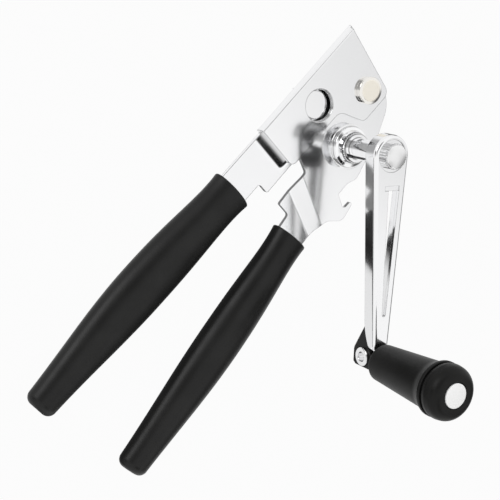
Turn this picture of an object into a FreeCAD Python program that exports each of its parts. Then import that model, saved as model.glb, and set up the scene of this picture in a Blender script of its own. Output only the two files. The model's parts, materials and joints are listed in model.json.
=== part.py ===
"""Manual can opener with a long folding-knob crank, lying on its back.

Modelling frame: pivot rivet axis at x = y = 0, front plate's outer face at z = 0, +X along the spine
towards the head's tip, +Y towards the spine, +Z towards the crank.  Every piece is finally moved so that
the row origin is the centre of the cutter stud's flat end, on the plane the opener rests on.
Lengths are millimetres, angles are degrees.
"""
import FreeCAD, Part
import math
import os

# ---------------------------------------------------------------- sheet stack of the two levers
SHEET = 2.0                 # lever plate thickness
HEAD_GAP = 0.12             # running gap on each side of the lower lever's head
BEND_OUT = 1.2              # outer bend radius of the folded spine
BEND_IN = 0.4               # inner bend radius of the folded spine

# ---------------------------------------------------------------- head layout, about the pivot
CUTTER_R = 30.57            # pivot to cutter stud
CUTTER_DEG = 149.1          # direction of the cutter stud
SHAFT_R = 30.57             # pivot to crank shaft
SHAFT_DEG = 204.0           # direction of the crank shaft, handles open

# ---------------------------------------------------------------- upper lever
SPINE_Y = 30.4              # outer face of the spine
CHANNEL_X = -58.0           # rear end of the folded channel
TIP_FRONT_X = 13.8          # front flap's tip at the spine
TIP_BACK_X = 15.6           # back plate's tip at the spine
FLAP_Y = 4.3                # front flap's lower edge
FLAP_CORNER_R = 3.4         # front flap's rear corner
LOBE_Y = -10.6              # lower edge of the lobe that carries the pivot
LOBE_REAR_X = -12.1         # rear corner of the lobe
LOBE_RISE_X = -19.7         # where the lobe's rear edge meets the straight edge
LOBE_FRONT_X = 8.6          # front corner of the lobe
LOBE_R = 4.5                # corner radius of the lobe
STRIP_LOW_Y = 3.2           # lower edge of the handle strip
STRIP_TOP_Y = 28.0          # upper edge of the handle strip
STRIP_SHOULDER_X = -75.8    # shoulder where the strip narrows to the tang

WINDOW_R = 8.25             # round window in the front flap, in front of the cutter stud's head
WINDOW_RIM = 0.25           # rounding of the window's edge

# ---------------------------------------------------------------- lower lever
HEAD_NOSE_X = 8.9           # right edge of the lower head
HEAD_NOSE_R = 17.3          # sweep from the nose to the belly
HEAD_TOP_Y = 4.8            # hidden upper edge of the lower head
HEAD_REAR_X = -50.6         # hidden rear corner of the lower head
NECK_TOP_Y = -5.9           # upper edge of the neck
NECK_SHOULDER_X = -74.6     # shoulder where the neck narrows to the tang
JOGGLE_X = -65.4            # middle of the joggle, measured on the neck's centre line
JOGGLE_Y = -19.0            # the neck's centre line at the joggle
JOGGLE_RUN = 8.6            # length of the joggle ramp
JOGGLE_SKEW_DEG = 18.0      # the joggle lines lean this far from square
HOOK_MOUTH = 8.4            # bottle hook: height of the mouth
HOOK_DEPTH = 5.6            # bottle hook: depth of the mouth
HOOK_X = -44.9              # bottle hook: tip of the tooth
HOOK_TOP_Y = -28.5          # bottle hook: upper lip
HOOK_TOOTH = 2.6            # bottle hook: thickness of the tooth

# ---------------------------------------------------------------- grips and tangs
UPPER_GRIP_LEN = 141.2
UPPER_LIP_A = 12.0          # half width at the flared mouth
UPPER_NECK_A = 11.3         # half width behind the lip
UPPER_BELLY_A = 13.2        # half width at the fullest place
UPPER_TAPER_A = 9.9         # half width where the taper ends
LOWER_GRIP_LEN = 142.4
LOWER_LIP_A = 10.9
LOWER_NECK_A = 10.2
LOWER_BELLY_A = 12.0
LOWER_TAPER_A = 9.5
GRIP_END_A = 8.1            # half width before the rounded end
GRIP_LIP_B = 7.6            # half thickness at the mouth
GRIP_END_B = 6.4            # half thickness at the end
GRIP_BOW = 1.3              # outward bow of the grip's centre line
GRIP_END_R = 4.4            # rounding of the grip's end
GRIP_FIT = 0.1              # gap between a tang and its pocket
TANG_LEN = 118.0            # length of tang inside a grip
TANG_END_A = 5.4            # half width of the tang's end
UPPER_TANG_A = 9.2          # half width of the upper tang at the mouth
LOWER_TANG_A = 8.6          # half width of the lower tang at the mouth
UPPER_GRIP_X = -88.0        # mouth of the upper grip
UPPER_GRIP_Y = 19.1
UPPER_GRIP_DEG = 179.2      # direction of the upper grip
LOWER_GRIP_X = -81.4        # mouth of the lower grip
LOWER_GRIP_Y = -24.2
LOWER_GRIP_DEG = 186.6      # direction of the lower grip

# ---------------------------------------------------------------- pivot rivet
PIVOT_SHANK_R = 3.6
PIVOT_FIT = 0.05            # radial running gap of the lower lever on the rivet
PIVOT_HEAD_R = 7.1
PIVOT_HEAD_H = 2.9
PIVOT_WALL_H = 2.3          # straight side of the head, below its sloping border
PIVOT_FACE_R = 5.0
PIVOT_TAIL_R = 5.6
PIVOT_TAIL_H = 1.5

# ---------------------------------------------------------------- cutter side
STUD_SHANK_R = 4.0
STUD_SPINDLE_R = 3.0
STUD_HEAD_R = 7.2
STUD_HEAD_H = 0.5
STUD_HEAD_ROUND = 0.3
GEAR_MODULE = 2.08          # long teeth, so the pair stays engaged with the handles part open
CUTTER_TEETH = 11           # on the cutting wheel's gear
DRIVE_TEETH = 13            # on the crank shaft's gear
GEAR_ADDENDUM = 2.15
GEAR_DEDENDUM = 2.7
GEAR_BACKLASH = 0.14
PRESSURE_DEG = 27.0
GEAR_T = 1.8
GEAR_STANDOFF = 0.25        # washer between a gear and what carries it
GEAR_WASHER_R = 6.2
FEED_T = 2.2                # thickness of the feed wheel
FEED_R = 12.8
FEED_TEETH = 36
FEED_TOOTH_H = 0.8
FEED_GAP = 0.15             # axial gap either side of the feed wheel
CUTTER_WHEEL_R = 11.0
CUTTER_WHEEL_T = 1.2
CUTTER_BEVEL = 2.8          # radial width of the cutting bevel
CUTTER_HUB_R = 6.0
SPINDLE_FIT = 0.05          # radial running gap on the stud's spindle
NUT_AF = 10.0               # across flats, both retaining nuts
END_LAND = 0.4              # chamfer at a threaded end

# ---------------------------------------------------------------- crank shaft and its bushing
SHAFT_BODY_R = 5.45
SHAFT_FIT = 0.06            # radial running gap in the bushing
BUSH_HUB_R = 7.0
BUSH_NECK_R = 8.8           # neck between the lower lever and the flange
BUSH_FLANGE_R = 11.7
BUSH_FLANGE_LIFT = 0.4      # flange's underside above the front flap, at the neck
BUSH_FLANGE_T = 1.6         # flange's thickness at the neck
BUSH_RIM_T = 0.8            # flange's thickness at its rim
BUSH_STEP_R = 10.4
BUSH_STEP_H = 1.6
BUSH_SHOULDER_R = 8.7
BUSH_SHOULDER_H = 0.7       # sloping shoulder on the step
BUSH_CONE_H = 2.0
BUSH_CONE_TOP_R = 8.1
COLLAR_R = 7.9
COLLAR_H = 1.6
COLLAR_KNURL_COUNT = 44
COLLAR_KNURL_H = 0.25
RACE_R = 7.2                # bright thrust washer on top of the collar
RACE_H = 0.9
DRIVE_FLAT = 3.3            # half distance across the shaft's drive flats
DRIVE_R = 4.4               # shaft radius at the drive flats

# ---------------------------------------------------------------- crank arm
CRANK_DEG = -134.4          # direction of the arm in the stored pose
ARM_FACE_Z = 37.5           # front face of the arm
ARM_DEPTH = 8.0             # depth of the pressed channel
ARM_T = 1.8
ARM_HEAD_R = 10.4
ARM_END_R = 4.7
ARM_LEN = 96.4              # shaft axis to the centre of the arm's rounded end
ARM_EDGE_R = 1.9            # outer press radius along the face
ARM_FADE = 15.0             # length over which the side walls fade out at the end
SLOT_TOP_U = 17.2           # shaft's axis to the slot's wide end
SLOT_END_BACK = 15.2        # slot's narrow end before the centre of the arm's rounded end
SLOT_TOP_LO = -1.3
SLOT_TOP_HI = 5.3
SLOT_END_LO = -0.8
SLOT_END_HI = 1.3
SLOT_COIN = 0.5             # depth of the coined land at the slot's square end
SLOT_COIN_LEN = 2.4
HEAD_SPLINE_R = 6.4         # serrated end of the shaft above the arm
HEAD_SPLINE_H = 3.3
HEAD_SPLINE_COUNT = 30
HEAD_SPLINE_DEPTH = 0.35
HEAD_DOME_R = 5.8
HEAD_DOME_H = 1.5
SEAT_R = 8.1                # shallow seat round the shaft's end
SEAT_DEPTH = 0.5
HUB_WASHER_R = 8.2
HUB_WASHER_H = 2.0

# ---------------------------------------------------------------- knob hinge
KNOB_REACH = 8.2            # knob's axis beyond the centre of the arm's rounded end
PIN_DROP = 8.6              # fold pin below the arm's face
PIN_BACK = 0.9              # fold pin short of the knob's axis
PIN_R = 3.6
PIN_BORE_R = 2.5
PIN_HEAD_R = 4.8
PIN_HEAD_T = 1.5
PIN_FIT = 0.05
BRACKET_W = 4.6             # half width of the bracket
BRACKET_NOSE = 4.7          # bracket's end beyond the knob's axis
BRACKET_HEEL = 3.8          # bracket's underside before the knob's axis
BRACKET_BELOW = 8.0         # bracket's underside below the fold pin
BRACKET_TOP_GAP = 0.7       # bracket's top below the arm's face
BRACKET_ROOT = 12.4         # bracket's thin end before the centre of the arm's rounded end
BRACKET_FIT = 0.1
EYE_R = 5.5
EYE_HALF_W = 3.2
EYE_GAP = 0.1              # side gap of the eye in the bracket
EYE_CLEAR = 0.3             # gap around the eye
STEM_R = 3.1
STEM_COLLAR_R = 4.6
STEM_COLLAR_H = 0.8
STEM_COLLAR_LIFT = 0.3      # collar's underside above the arm's face
SCREW_R = 1.5
SCREW_HEAD_R = 2.8          # counterbore for the screw's head
SCREW_HEAD_H = 1.8
SCREW_SEAT = 1.6            # screw's seat above the arm's back edge
SCREW_CLEAR = 0.3
SCREW_BLIND = 0.5           # steel left over the screw's blind hole
SCREW_BACK = 3.9            # screw before the centre of the arm's rounded end

# ---------------------------------------------------------------- knob
KNOB_WASHER_R = 6.0
KNOB_WASHER_H = 0.6
KNOB_GAP = 0.12             # axial play of the knob
KNOB_BASE_R = 9.5
KNOB_BASE_ROUND = 1.2
KNOB_WAIST_R = 12.2        # end of the taper, before the flare
KNOB_TAPER_LEN = 39.4
KNOB_FLARE_LEN = 4.4
KNOB_RIM_R = 14.0
KNOB_RIM_H = 1.6
GROOVE_R = 12.6
GROOVE_H = 1.3
CAP_R = 14.0
CAP_H = 8.8
CAP_EDGE_R = 5.2            # rounding of the cap's end
CAP_RECESS_R = 6.7
CAP_RECESS = 0.8
KNOB_BORE_FIT = 0.08
BUTTON_R = 6.15
BUTTON_H = 1.3

# ---------------------------------------------------------------- derived levels
Z_FLAP_IN = -SHEET
Z_HEAD_TOP = Z_FLAP_IN - HEAD_GAP
Z_HEAD_LOW = Z_HEAD_TOP - SHEET
Z_BACK_IN = Z_HEAD_LOW - HEAD_GAP
Z_BACK = Z_BACK_IN - SHEET
Z_STRIP_MID = (Z_BACK + Z_BACK_IN) / 2
Z_GEAR_TOP = Z_BACK - GEAR_STANDOFF
Z_GEAR_LOW = Z_GEAR_TOP - GEAR_T
Z_FEED_TOP = Z_GEAR_LOW - FEED_GAP
Z_FEED_LOW = Z_FEED_TOP - FEED_T
Z_CUT_TOP = Z_FEED_LOW - FEED_GAP
Z_CUT_LOW = Z_CUT_TOP - CUTTER_WHEEL_T
NUT_H = 1.6
Z_REST = Z_CUT_LOW - GEAR_STANDOFF - NUT_H
GRIP_BELLY_B = Z_STRIP_MID - Z_REST

Z_FLANGE = BUSH_FLANGE_LIFT
Z_STEP = Z_FLANGE + BUSH_FLANGE_T
Z_SHOULDER = Z_STEP + BUSH_STEP_H
Z_CONE = Z_SHOULDER + BUSH_SHOULDER_H
Z_COLLAR = Z_CONE + BUSH_CONE_H
Z_RACE = Z_COLLAR + COLLAR_H
Z_RACE_TOP = Z_RACE + RACE_H

ARM_BACK_Z = ARM_FACE_Z - ARM_DEPTH
ARM_IN_Z = ARM_FACE_Z - ARM_T
ARM_END_U = ARM_LEN + ARM_END_R
PIN_Z = ARM_FACE_Z - PIN_DROP
Z_COLLAR_LOW = ARM_FACE_Z + STEM_COLLAR_LIFT
Z_KNOB_WASHER = Z_COLLAR_LOW + STEM_COLLAR_H
Z_KNOB = Z_KNOB_WASHER + KNOB_WASHER_H + KNOB_GAP
Z_WAIST = Z_KNOB + KNOB_TAPER_LEN
Z_RIM = Z_WAIST + KNOB_FLARE_LEN
Z_GROOVE = Z_RIM + KNOB_RIM_H
Z_CAP = Z_GROOVE + GROOVE_H
Z_CAP_TOP = Z_CAP + CAP_H
Z_BUTTON = Z_CAP_TOP - CAP_RECESS + KNOB_GAP

KNOB_U = ARM_LEN + KNOB_REACH
PIN_U = KNOB_U - PIN_BACK
BRACKET_ROOT_U = ARM_LEN - BRACKET_ROOT
SCREW_U = ARM_LEN - SCREW_BACK
SLOT_END_U = ARM_LEN - SLOT_END_BACK
MESH_DISTANCE = GEAR_MODULE * (CUTTER_TEETH + DRIVE_TEETH) / 2


def polar(radius, degrees):
    """Plan point at a radius and direction from the pivot."""
    return (radius * math.cos(math.radians(degrees)), radius * math.sin(math.radians(degrees)))


CUTTER_AXIS = polar(CUTTER_R, CUTTER_DEG)
SHAFT_AXIS = polar(SHAFT_R, SHAFT_DEG)
COS_MESH = (CUTTER_R ** 2 + SHAFT_R ** 2 - MESH_DISTANCE ** 2) / (2 * CUTTER_R * SHAFT_R)
CLOSE_DEG = SHAFT_DEG - CUTTER_DEG - math.degrees(math.acos(COS_MESH))
SHAFT_CLOSED = polar(SHAFT_R, SHAFT_DEG - CLOSE_DEG)
MESH_DEG = math.degrees(math.atan2(SHAFT_CLOSED[1] - CUTTER_AXIS[1], SHAFT_CLOSED[0] - CUTTER_AXIS[0]))


# ---------------------------------------------------------------- drawing helpers
def vec(x, y, z=0.0):
    """Short name for a vector."""
    return FreeCAD.Vector(x, y, z)


def rounded_wire(corners, z=0.0):
    """Closed wire through corners (x, y, radius), each corner rounded by a tangent arc."""
    count = len(corners)
    runs = []
    for i, (x, y, radius) in enumerate(corners):
        here = vec(x, y, z)
        before = vec(corners[i - 1][0], corners[i - 1][1], z)
        after = vec(corners[(i + 1) % count][0], corners[(i + 1) % count][1], z)
        back = (before - here).normalize()
        ahead = (after - here).normalize()
        half = back.getAngle(ahead) / 2
        if radius <= 0 or abs(half - math.pi / 2) < 1e-4:
            runs.append((here, None, here))
            continue
        reach = radius / math.tan(half)
        bisector = (back + ahead).normalize()
        middle = here + bisector * (radius / math.sin(half) - radius)
        runs.append((here + back * reach, middle, here + ahead * reach))
    edges = []
    for i, (start, middle, end) in enumerate(runs):
        if middle is not None:
            edges.append(Part.Arc(start, middle, end).toShape())
        following = runs[(i + 1) % count][0]
        if end.distanceToPoint(following) > 1e-6:
            edges.append(Part.makeLine(end, following))
    return Part.Wire(edges)


def slab(corners, low, high):
    """Flat plate with a rounded outline between two levels."""
    return Part.Face(rounded_wire(corners, low)).extrude(vec(0, 0, high - low))


def disc(radius, low, high, at=(0.0, 0.0)):
    """Upright cylinder."""
    return Part.makeCylinder(radius, high - low, vec(at[0], at[1], low))


def turned(profile, at=(0.0, 0.0)):
    """Solid of revolution about an upright axis, from (radius, z, rounding) corners."""
    wire = rounded_wire([(r, z, rounding) for r, z, rounding in profile])
    upright = FreeCAD.Placement(vec(0, 0, 0), FreeCAD.Rotation(vec(1, 0, 0), 90))
    face = Part.Face(wire)
    face.Placement = upright
    solid = face.revolve(vec(0, 0, 0), vec(0, 0, 1), 360)
    solid.translate(vec(at[0], at[1], 0))
    return solid


def hexagon(across_flats, low, high, at):
    """Hexagonal prism with chamfered corners, as a nut blank."""
    corner_r = across_flats / math.sqrt(3)
    points = [polar(corner_r, 60 * i + 30) for i in range(6)]
    prism = slab([(x + at[0], y + at[1], 0) for x, y in points], low, high)
    cut = corner_r - across_flats / 2
    crown = turned([(0, low, 0), (across_flats / 2, low, 0), (corner_r, low + cut * 0.6, 0),
                    (corner_r, high - cut * 0.6, 0), (across_flats / 2, high, 0), (0, high, 0)], at)
    return prism.common(crown)


def spin(shape, degrees, at=(0.0, 0.0)):
    """Turn a shape about an upright axis."""
    shape.rotate(vec(at[0], at[1], 0), vec(0, 0, 1), degrees)
    return shape


def serrated(outer, depth, count, low, high, at=(0.0, 0.0)):
    """Upright cylinder with a ring of V-shaped teeth."""
    step = 360.0 / count
    points = []
    for i in range(count):
        points.append(polar(outer, i * step))
        points.append(polar(outer - depth, (i + 0.5) * step))
    return slab([(x + at[0], y + at[1], 0) for x, y in points], low, high)


def involute_point(base_r, radius, offset, side):
    """Point of an involute flank at a radius; offset is the flank's angle at the base circle."""
    roll = math.sqrt(max(radius ** 2 / base_r ** 2 - 1, 0))
    angle = offset + side * (roll - math.atan(roll))
    return vec(radius * math.cos(angle), radius * math.sin(angle))


def gear_face(teeth):
    """Face of one gear, with a tooth centred on +X and arcs fitted to its involute flanks."""
    pitch_r = GEAR_MODULE * teeth / 2
    base_r = pitch_r * math.cos(math.radians(PRESSURE_DEG))
    tip_r = pitch_r + GEAR_ADDENDUM
    root_r = pitch_r - GEAR_DEDENDUM
    pressure = math.radians(PRESSURE_DEG)
    half_tooth = (math.pi * GEAR_MODULE / 2 - GEAR_BACKLASH) / (2 * pitch_r)
    spread = half_tooth + math.tan(pressure) - pressure
    pitch = 2 * math.pi / teeth
    start_r = max(base_r, root_r)
    edges = []
    for i in range(teeth):
        turn = FreeCAD.Rotation(vec(0, 0, 1), math.degrees(i * pitch))
        right = [involute_point(base_r, r, -spread, 1) for r in (start_r, (start_r + tip_r) / 2, tip_r)]
        left = [vec(p.x, -p.y) for p in right]
        foot_right = vec(root_r * math.cos(-spread), root_r * math.sin(-spread))
        foot_left = vec(foot_right.x, -foot_right.y)
        next_foot = FreeCAD.Rotation(vec(0, 0, 1), math.degrees(pitch)).multVec(foot_right)
        valley = vec(root_r * math.cos(pitch / 2), root_r * math.sin(pitch / 2))
        path = [Part.makeLine(foot_right, right[0])] if start_r > root_r + 1e-6 else []
        path.append(Part.Arc(right[0], right[1], right[2]).toShape())
        path.append(Part.Arc(right[2], vec(tip_r, 0), left[2]).toShape())
        path.append(Part.Arc(left[2], left[1], left[0]).toShape())
        if start_r > root_r + 1e-6:
            path.append(Part.makeLine(left[0], foot_left))
        path.append(Part.Arc(foot_left, valley, next_foot).toShape())
        for edge in path:
            edge.Placement = FreeCAD.Placement(vec(0, 0, 0), turn)
            edges.append(edge)
    return Part.Face(Part.Wire(Part.__sortEdges__(edges)))


def gear(teeth, low, high, tooth_deg, at):
    """Toothed disc with one tooth centred on a direction."""
    body = gear_face(teeth).extrude(vec(0, 0, high - low))
    body.translate(vec(0, 0, low))
    spin(body, tooth_deg)
    body.translate(vec(at[0], at[1], 0))
    return body


def double_d(radius, half_flat, low, high, at):
    """Round bar with two flats, used for the shaft's drive and its mating bores."""
    bar = disc(radius, low, high, at)
    width = 4 * radius
    block = Part.makeBox(width, 2 * half_flat, high - low, vec(at[0] - width / 2, at[1] - half_flat, low))
    return bar.common(block)


def on_handle(x, y, degrees, outward, along, across):
    """Plan point at a distance along and across (outward) a handle's axis."""
    ca = math.cos(math.radians(degrees))
    sa = math.sin(math.radians(degrees))
    return (x + along * ca + across * outward * sa, y + along * sa - across * outward * ca)


def upper_handle(along, across):
    """Plan point on the upper handle; across is positive away from the other handle."""
    return on_handle(UPPER_GRIP_X, UPPER_GRIP_Y, UPPER_GRIP_DEG, 1, along, across)


def lower_handle(along, across):
    """Plan point on the lower handle; across is positive away from the other handle."""
    return on_handle(LOWER_GRIP_X, LOWER_GRIP_Y, LOWER_GRIP_DEG, -1, along, across)


# ---------------------------------------------------------------- levers
def head_outline(tip_x, low_y, shift):
    """Plan outline shared by the front flap and the back plate of the upper lever."""
    return [
        (CHANNEL_X, SPINE_Y + 1, 0),
        (CHANNEL_X, low_y, FLAP_CORNER_R),
        (LOBE_RISE_X, low_y, 5.5),
        (LOBE_REAR_X, LOBE_Y, LOBE_R * 0.9),
        (LOBE_FRONT_X + shift, LOBE_Y, LOBE_R),
        (LOBE_FRONT_X + 1.3 + shift, 0.0, 40.0),
        (tip_x, SPINE_Y + 1, 0),
    ]


def upper_lever():
    """One folded sheet: handle tang, strip, back plate, spine and front flap."""
    far_y = LOBE_Y - 3
    section = [
        (far_y, Z_BACK, 0),
        (SPINE_Y, Z_BACK, BEND_OUT),
        (SPINE_Y, 0, BEND_OUT),
        (far_y, 0, 0),
        (far_y, Z_FLAP_IN, 0),
        (SPINE_Y - SHEET, Z_FLAP_IN, BEND_IN),
        (SPINE_Y - SHEET, Z_BACK_IN, BEND_IN),
        (far_y, Z_BACK_IN, 0),
    ]
    face = Part.Face(rounded_wire(section))
    face.Placement = FreeCAD.Placement(vec(CHANNEL_X, 0, 0), FreeCAD.Rotation(0.5, 0.5, 0.5, 0.5))
    channel = face.extrude(vec(TIP_BACK_X - CHANNEL_X, 0, 0))
    flap = slab(head_outline(TIP_FRONT_X, FLAP_Y, 0.0), Z_FLAP_IN, 1)
    back = slab(head_outline(TIP_BACK_X, STRIP_LOW_Y, 1.2), Z_BACK - 1, Z_BACK_IN)
    web = Part.makeBox(TIP_BACK_X - CHANNEL_X, 2 * SHEET, Z_FLAP_IN - Z_BACK_IN,
                       vec(CHANNEL_X, SPINE_Y - 2 * SHEET, Z_BACK_IN))
    head = channel.common(flap.fuse([back, web]))
    side = rounded_wire([
        (CHANNEL_X - 1, Z_BACK - 1, 0),
        (TIP_BACK_X, Z_BACK - 1, 0),
        (TIP_BACK_X, Z_BACK_IN, 2.0),
        (TIP_FRONT_X, 0, 0),
        (TIP_FRONT_X, 1, 0),
        (CHANNEL_X - 1, 1, 0),
    ])
    profile = Part.Face(side)
    profile.Placement = FreeCAD.Placement(vec(0, SPINE_Y + 1, 0), FreeCAD.Rotation(vec(1, 0, 0), 90))
    head = head.common(profile.extrude(vec(0, LOBE_Y - SPINE_Y - 8, 0)))
    strip = slab([
        (*upper_handle(TANG_LEN, TANG_END_A), 2.5),
        (*upper_handle(TANG_LEN, -TANG_END_A), 2.5),
        (*upper_handle(0, -UPPER_TANG_A), 0),
        (STRIP_SHOULDER_X, upper_handle(0, -UPPER_TANG_A)[1], 1.6),
        (STRIP_SHOULDER_X, STRIP_LOW_Y, 1.2),
        (CHANNEL_X + 2 * FLAP_CORNER_R, STRIP_LOW_Y, 0),
        (CHANNEL_X + 2 * FLAP_CORNER_R, STRIP_TOP_Y, 0),
        (*upper_handle(0, UPPER_TANG_A), 0),
    ], Z_BACK, Z_BACK_IN)
    lever = head.fuse(strip).removeSplitter()
    window = turned([
        (0, Z_FLAP_IN - 0.5, 0),
        (WINDOW_R, Z_FLAP_IN - 0.5, 0),
        (WINDOW_R, -WINDOW_RIM, 0),
        (WINDOW_R + WINDOW_RIM, 0, 0),
        (WINDOW_R + WINDOW_RIM, 1, 0),
        (0, 1, 0),
    ], CUTTER_AXIS)
    lever = lever.cut(window)
    lever = lever.cut(disc(PIVOT_SHANK_R, Z_BACK - 1, 1))
    return lever.cut(disc(STUD_SHANK_R, Z_BACK - 1, Z_BACK_IN + 0.5, CUTTER_AXIS))


def lower_outline():
    """Plan outline of the lower lever, from the tang round the neck, the head and the bottle hook."""
    hook_low_y = HOOK_TOP_Y - HOOK_MOUTH
    return [
        (*lower_handle(TANG_LEN, -TANG_END_A), 2.5),
        (*lower_handle(TANG_LEN, TANG_END_A), 2.5),
        (*lower_handle(0, LOWER_TANG_A), 0),
        (-70.5, -32.1, 8.0),
        (-61.8, -33.6, 6.0),
        (HOOK_X - HOOK_DEPTH - 4.6, hook_low_y - HOOK_TOOTH - 1.6, 4.5),
        (HOOK_X - 0.4, hook_low_y - HOOK_TOOTH * 0.8, 0.9),
        (HOOK_X + 0.4, hook_low_y - 0.4, 0.7),
        (HOOK_X - HOOK_DEPTH, hook_low_y, 1.5),
        (HOOK_X - HOOK_DEPTH + 3.0, HOOK_TOP_Y, 1.5),
        (-39.5, -28.6, 6.0),
        (-34.5, -31.0, 5.0),
        (-12.5, -25.2, 40.0),
        (HEAD_NOSE_X, -14.6, HEAD_NOSE_R * 0.93),
        (HEAD_NOSE_X, 8.4, 7.5),
        (-5.0, 10.4, 6.0),
        (-13.0, HEAD_TOP_Y, 8.0),
        (HEAD_REAR_X, HEAD_TOP_Y, 3.0),
        (-53.7, NECK_TOP_Y + 0.6, 1.8),
        (NECK_SHOULDER_X, NECK_TOP_Y - 0.6, 1.0),
        (NECK_SHOULDER_X, lower_handle(0, -LOWER_TANG_A)[1] + 0.9, 1.8),
        (*lower_handle(0, -LOWER_TANG_A), 0),
    ]


def lower_lever():
    """One joggled sheet: tang and neck level with the upper strip, head raised into the channel."""
    skew = math.radians(JOGGLE_SKEW_DEG)
    reach = 4 * TANG_LEN
    half = JOGGLE_RUN / 2
    section = [
        (-reach, Z_BACK, 0),
        (-half, Z_BACK, 3.0),
        (half, Z_HEAD_LOW, 3.0 + SHEET),
        (reach, Z_HEAD_LOW, 0),
        (reach, Z_HEAD_TOP, 0),
        (half, Z_HEAD_TOP, 3.0),
        (-half, Z_BACK_IN, 3.0 + SHEET),
        (-reach, Z_BACK_IN, 0),
    ]
    face = Part.Face(rounded_wire(section))
    face.Placement = FreeCAD.Placement(vec(0, 0, 0), FreeCAD.Rotation(vec(1, 0, 0), 90))
    sheet = face.extrude(vec(0, reach, 0))
    sheet.translate(vec(0, -reach / 2, 0))
    spin(sheet, -math.degrees(skew))
    sheet.translate(vec(JOGGLE_X, JOGGLE_Y, 0))
    lever = sheet.common(slab(lower_outline(), Z_BACK - 1, Z_HEAD_TOP + 1))
    lever = lever.cut(disc(PIVOT_SHANK_R + PIVOT_FIT, Z_BACK - 1, 1))
    return lever.cut(disc(BUSH_HUB_R, Z_BACK - 1, 1, SHAFT_AXIS))


def grip(length, lip, neck, belly, taper, tang):
    """Soft sleeve along +X with its mouth at the origin, bowed towards +Y, with a pocket for the tang."""
    stations = [
        (0.0, lip, GRIP_LIP_B),
        (0.05, neck + 0.1, GRIP_LIP_B - 0.2),
        (0.11, neck + 0.1, GRIP_LIP_B),
        (0.26, (neck + 2 * belly) / 3, (GRIP_LIP_B + 3 * GRIP_BELLY_B) / 4),
        (0.42, belly, GRIP_BELLY_B),
        (0.60, (4 * belly + taper) / 5, (4 * GRIP_BELLY_B + GRIP_END_B) / 5),
        (0.82, taper, (GRIP_BELLY_B + 2 * GRIP_END_B) / 3),
        (0.92, (3 * taper + 5 * GRIP_END_A) / 8, (GRIP_BELLY_B + 6 * GRIP_END_B) / 7),
        (1.0, GRIP_END_A, GRIP_END_B),
    ]
    across = FreeCAD.Rotation(vec(1, 1, 1), 120)
    wires = []
    for share, half_width, half_height in stations:
        ring = Part.Ellipse(vec(0, 0, 0), half_width, half_height).toShape()
        centre = vec(share * length, GRIP_BOW * math.sin(math.pi * share), 0)
        ring.Placement = FreeCAD.Placement(centre, across)
        wires.append(Part.Wire([ring]))
    sleeve = Part.makeLoft(wires, True, False)
    end_edges = [edge for edge in sleeve.Edges if edge.BoundBox.XMin > length - 0.01]
    lip_edges = [edge for edge in sleeve.Edges if edge.BoundBox.XMax < 0.01]
    sleeve = sleeve.makeFillet(GRIP_END_R, end_edges)
    sleeve = sleeve.makeFillet(0.7, [e for e in sleeve.Edges if e.BoundBox.XMax < 0.01 and lip_edges])
    pocket = Part.Face(rounded_wire([
        (-1, tang + GRIP_FIT, 0),
        (TANG_LEN + GRIP_FIT, TANG_END_A + GRIP_FIT, 2.5),
        (TANG_LEN + GRIP_FIT, -TANG_END_A - GRIP_FIT, 2.5),
        (-1, -tang - GRIP_FIT, 0),
    ], -SHEET / 2 - GRIP_FIT)).extrude(vec(0, 0, SHEET + 2 * GRIP_FIT))
    return sleeve.cut(pocket)


def upper_grip():
    """Grip on the upper lever's tang."""
    sleeve = grip(UPPER_GRIP_LEN, UPPER_LIP_A, UPPER_NECK_A, UPPER_BELLY_A, UPPER_TAPER_A, UPPER_TANG_A)
    sleeve = sleeve.mirror(vec(0, 0, 0), vec(0, 1, 0))
    sleeve.rotate(vec(0, 0, 0), vec(0, 0, 1), UPPER_GRIP_DEG)
    sleeve.translate(vec(UPPER_GRIP_X, UPPER_GRIP_Y, Z_STRIP_MID))
    return sleeve


def lower_grip():
    """Grip on the lower lever's tang."""
    sleeve = grip(LOWER_GRIP_LEN, LOWER_LIP_A, LOWER_NECK_A, LOWER_BELLY_A, LOWER_TAPER_A, LOWER_TANG_A)
    sleeve.rotate(vec(0, 0, 0), vec(0, 0, 1), LOWER_GRIP_DEG)
    sleeve.translate(vec(LOWER_GRIP_X, LOWER_GRIP_Y, Z_STRIP_MID))
    return sleeve


# ---------------------------------------------------------------- rivet and stud
def pivot_rivet():
    """Low flat-headed rivet that both levers turn on, peened at the back."""
    return turned([
        (0, Z_BACK - PIVOT_TAIL_H, 0),
        (PIVOT_TAIL_R, Z_BACK - PIVOT_TAIL_H, PIVOT_TAIL_H * 0.7),
        (PIVOT_TAIL_R, Z_BACK, 0),
        (PIVOT_SHANK_R, Z_BACK, 0),
        (PIVOT_SHANK_R, 0, 0),
        (PIVOT_HEAD_R, 0, 0),
        (PIVOT_HEAD_R, PIVOT_WALL_H, 0.4),
        (PIVOT_FACE_R, PIVOT_HEAD_H, 0.8),
        (0, PIVOT_HEAD_H, 0),
    ])


def dome(radius, rim_low, rim_high, top, at):
    """Button with a short straight rim and a spherical crown."""
    crown = top - rim_high
    sphere_r = (radius ** 2 + crown ** 2) / (2 * crown)
    rim = disc(radius, rim_low, top, at)
    ball = Part.makeSphere(sphere_r, vec(at[0], at[1], top - sphere_r))
    return rim.common(ball)


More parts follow.
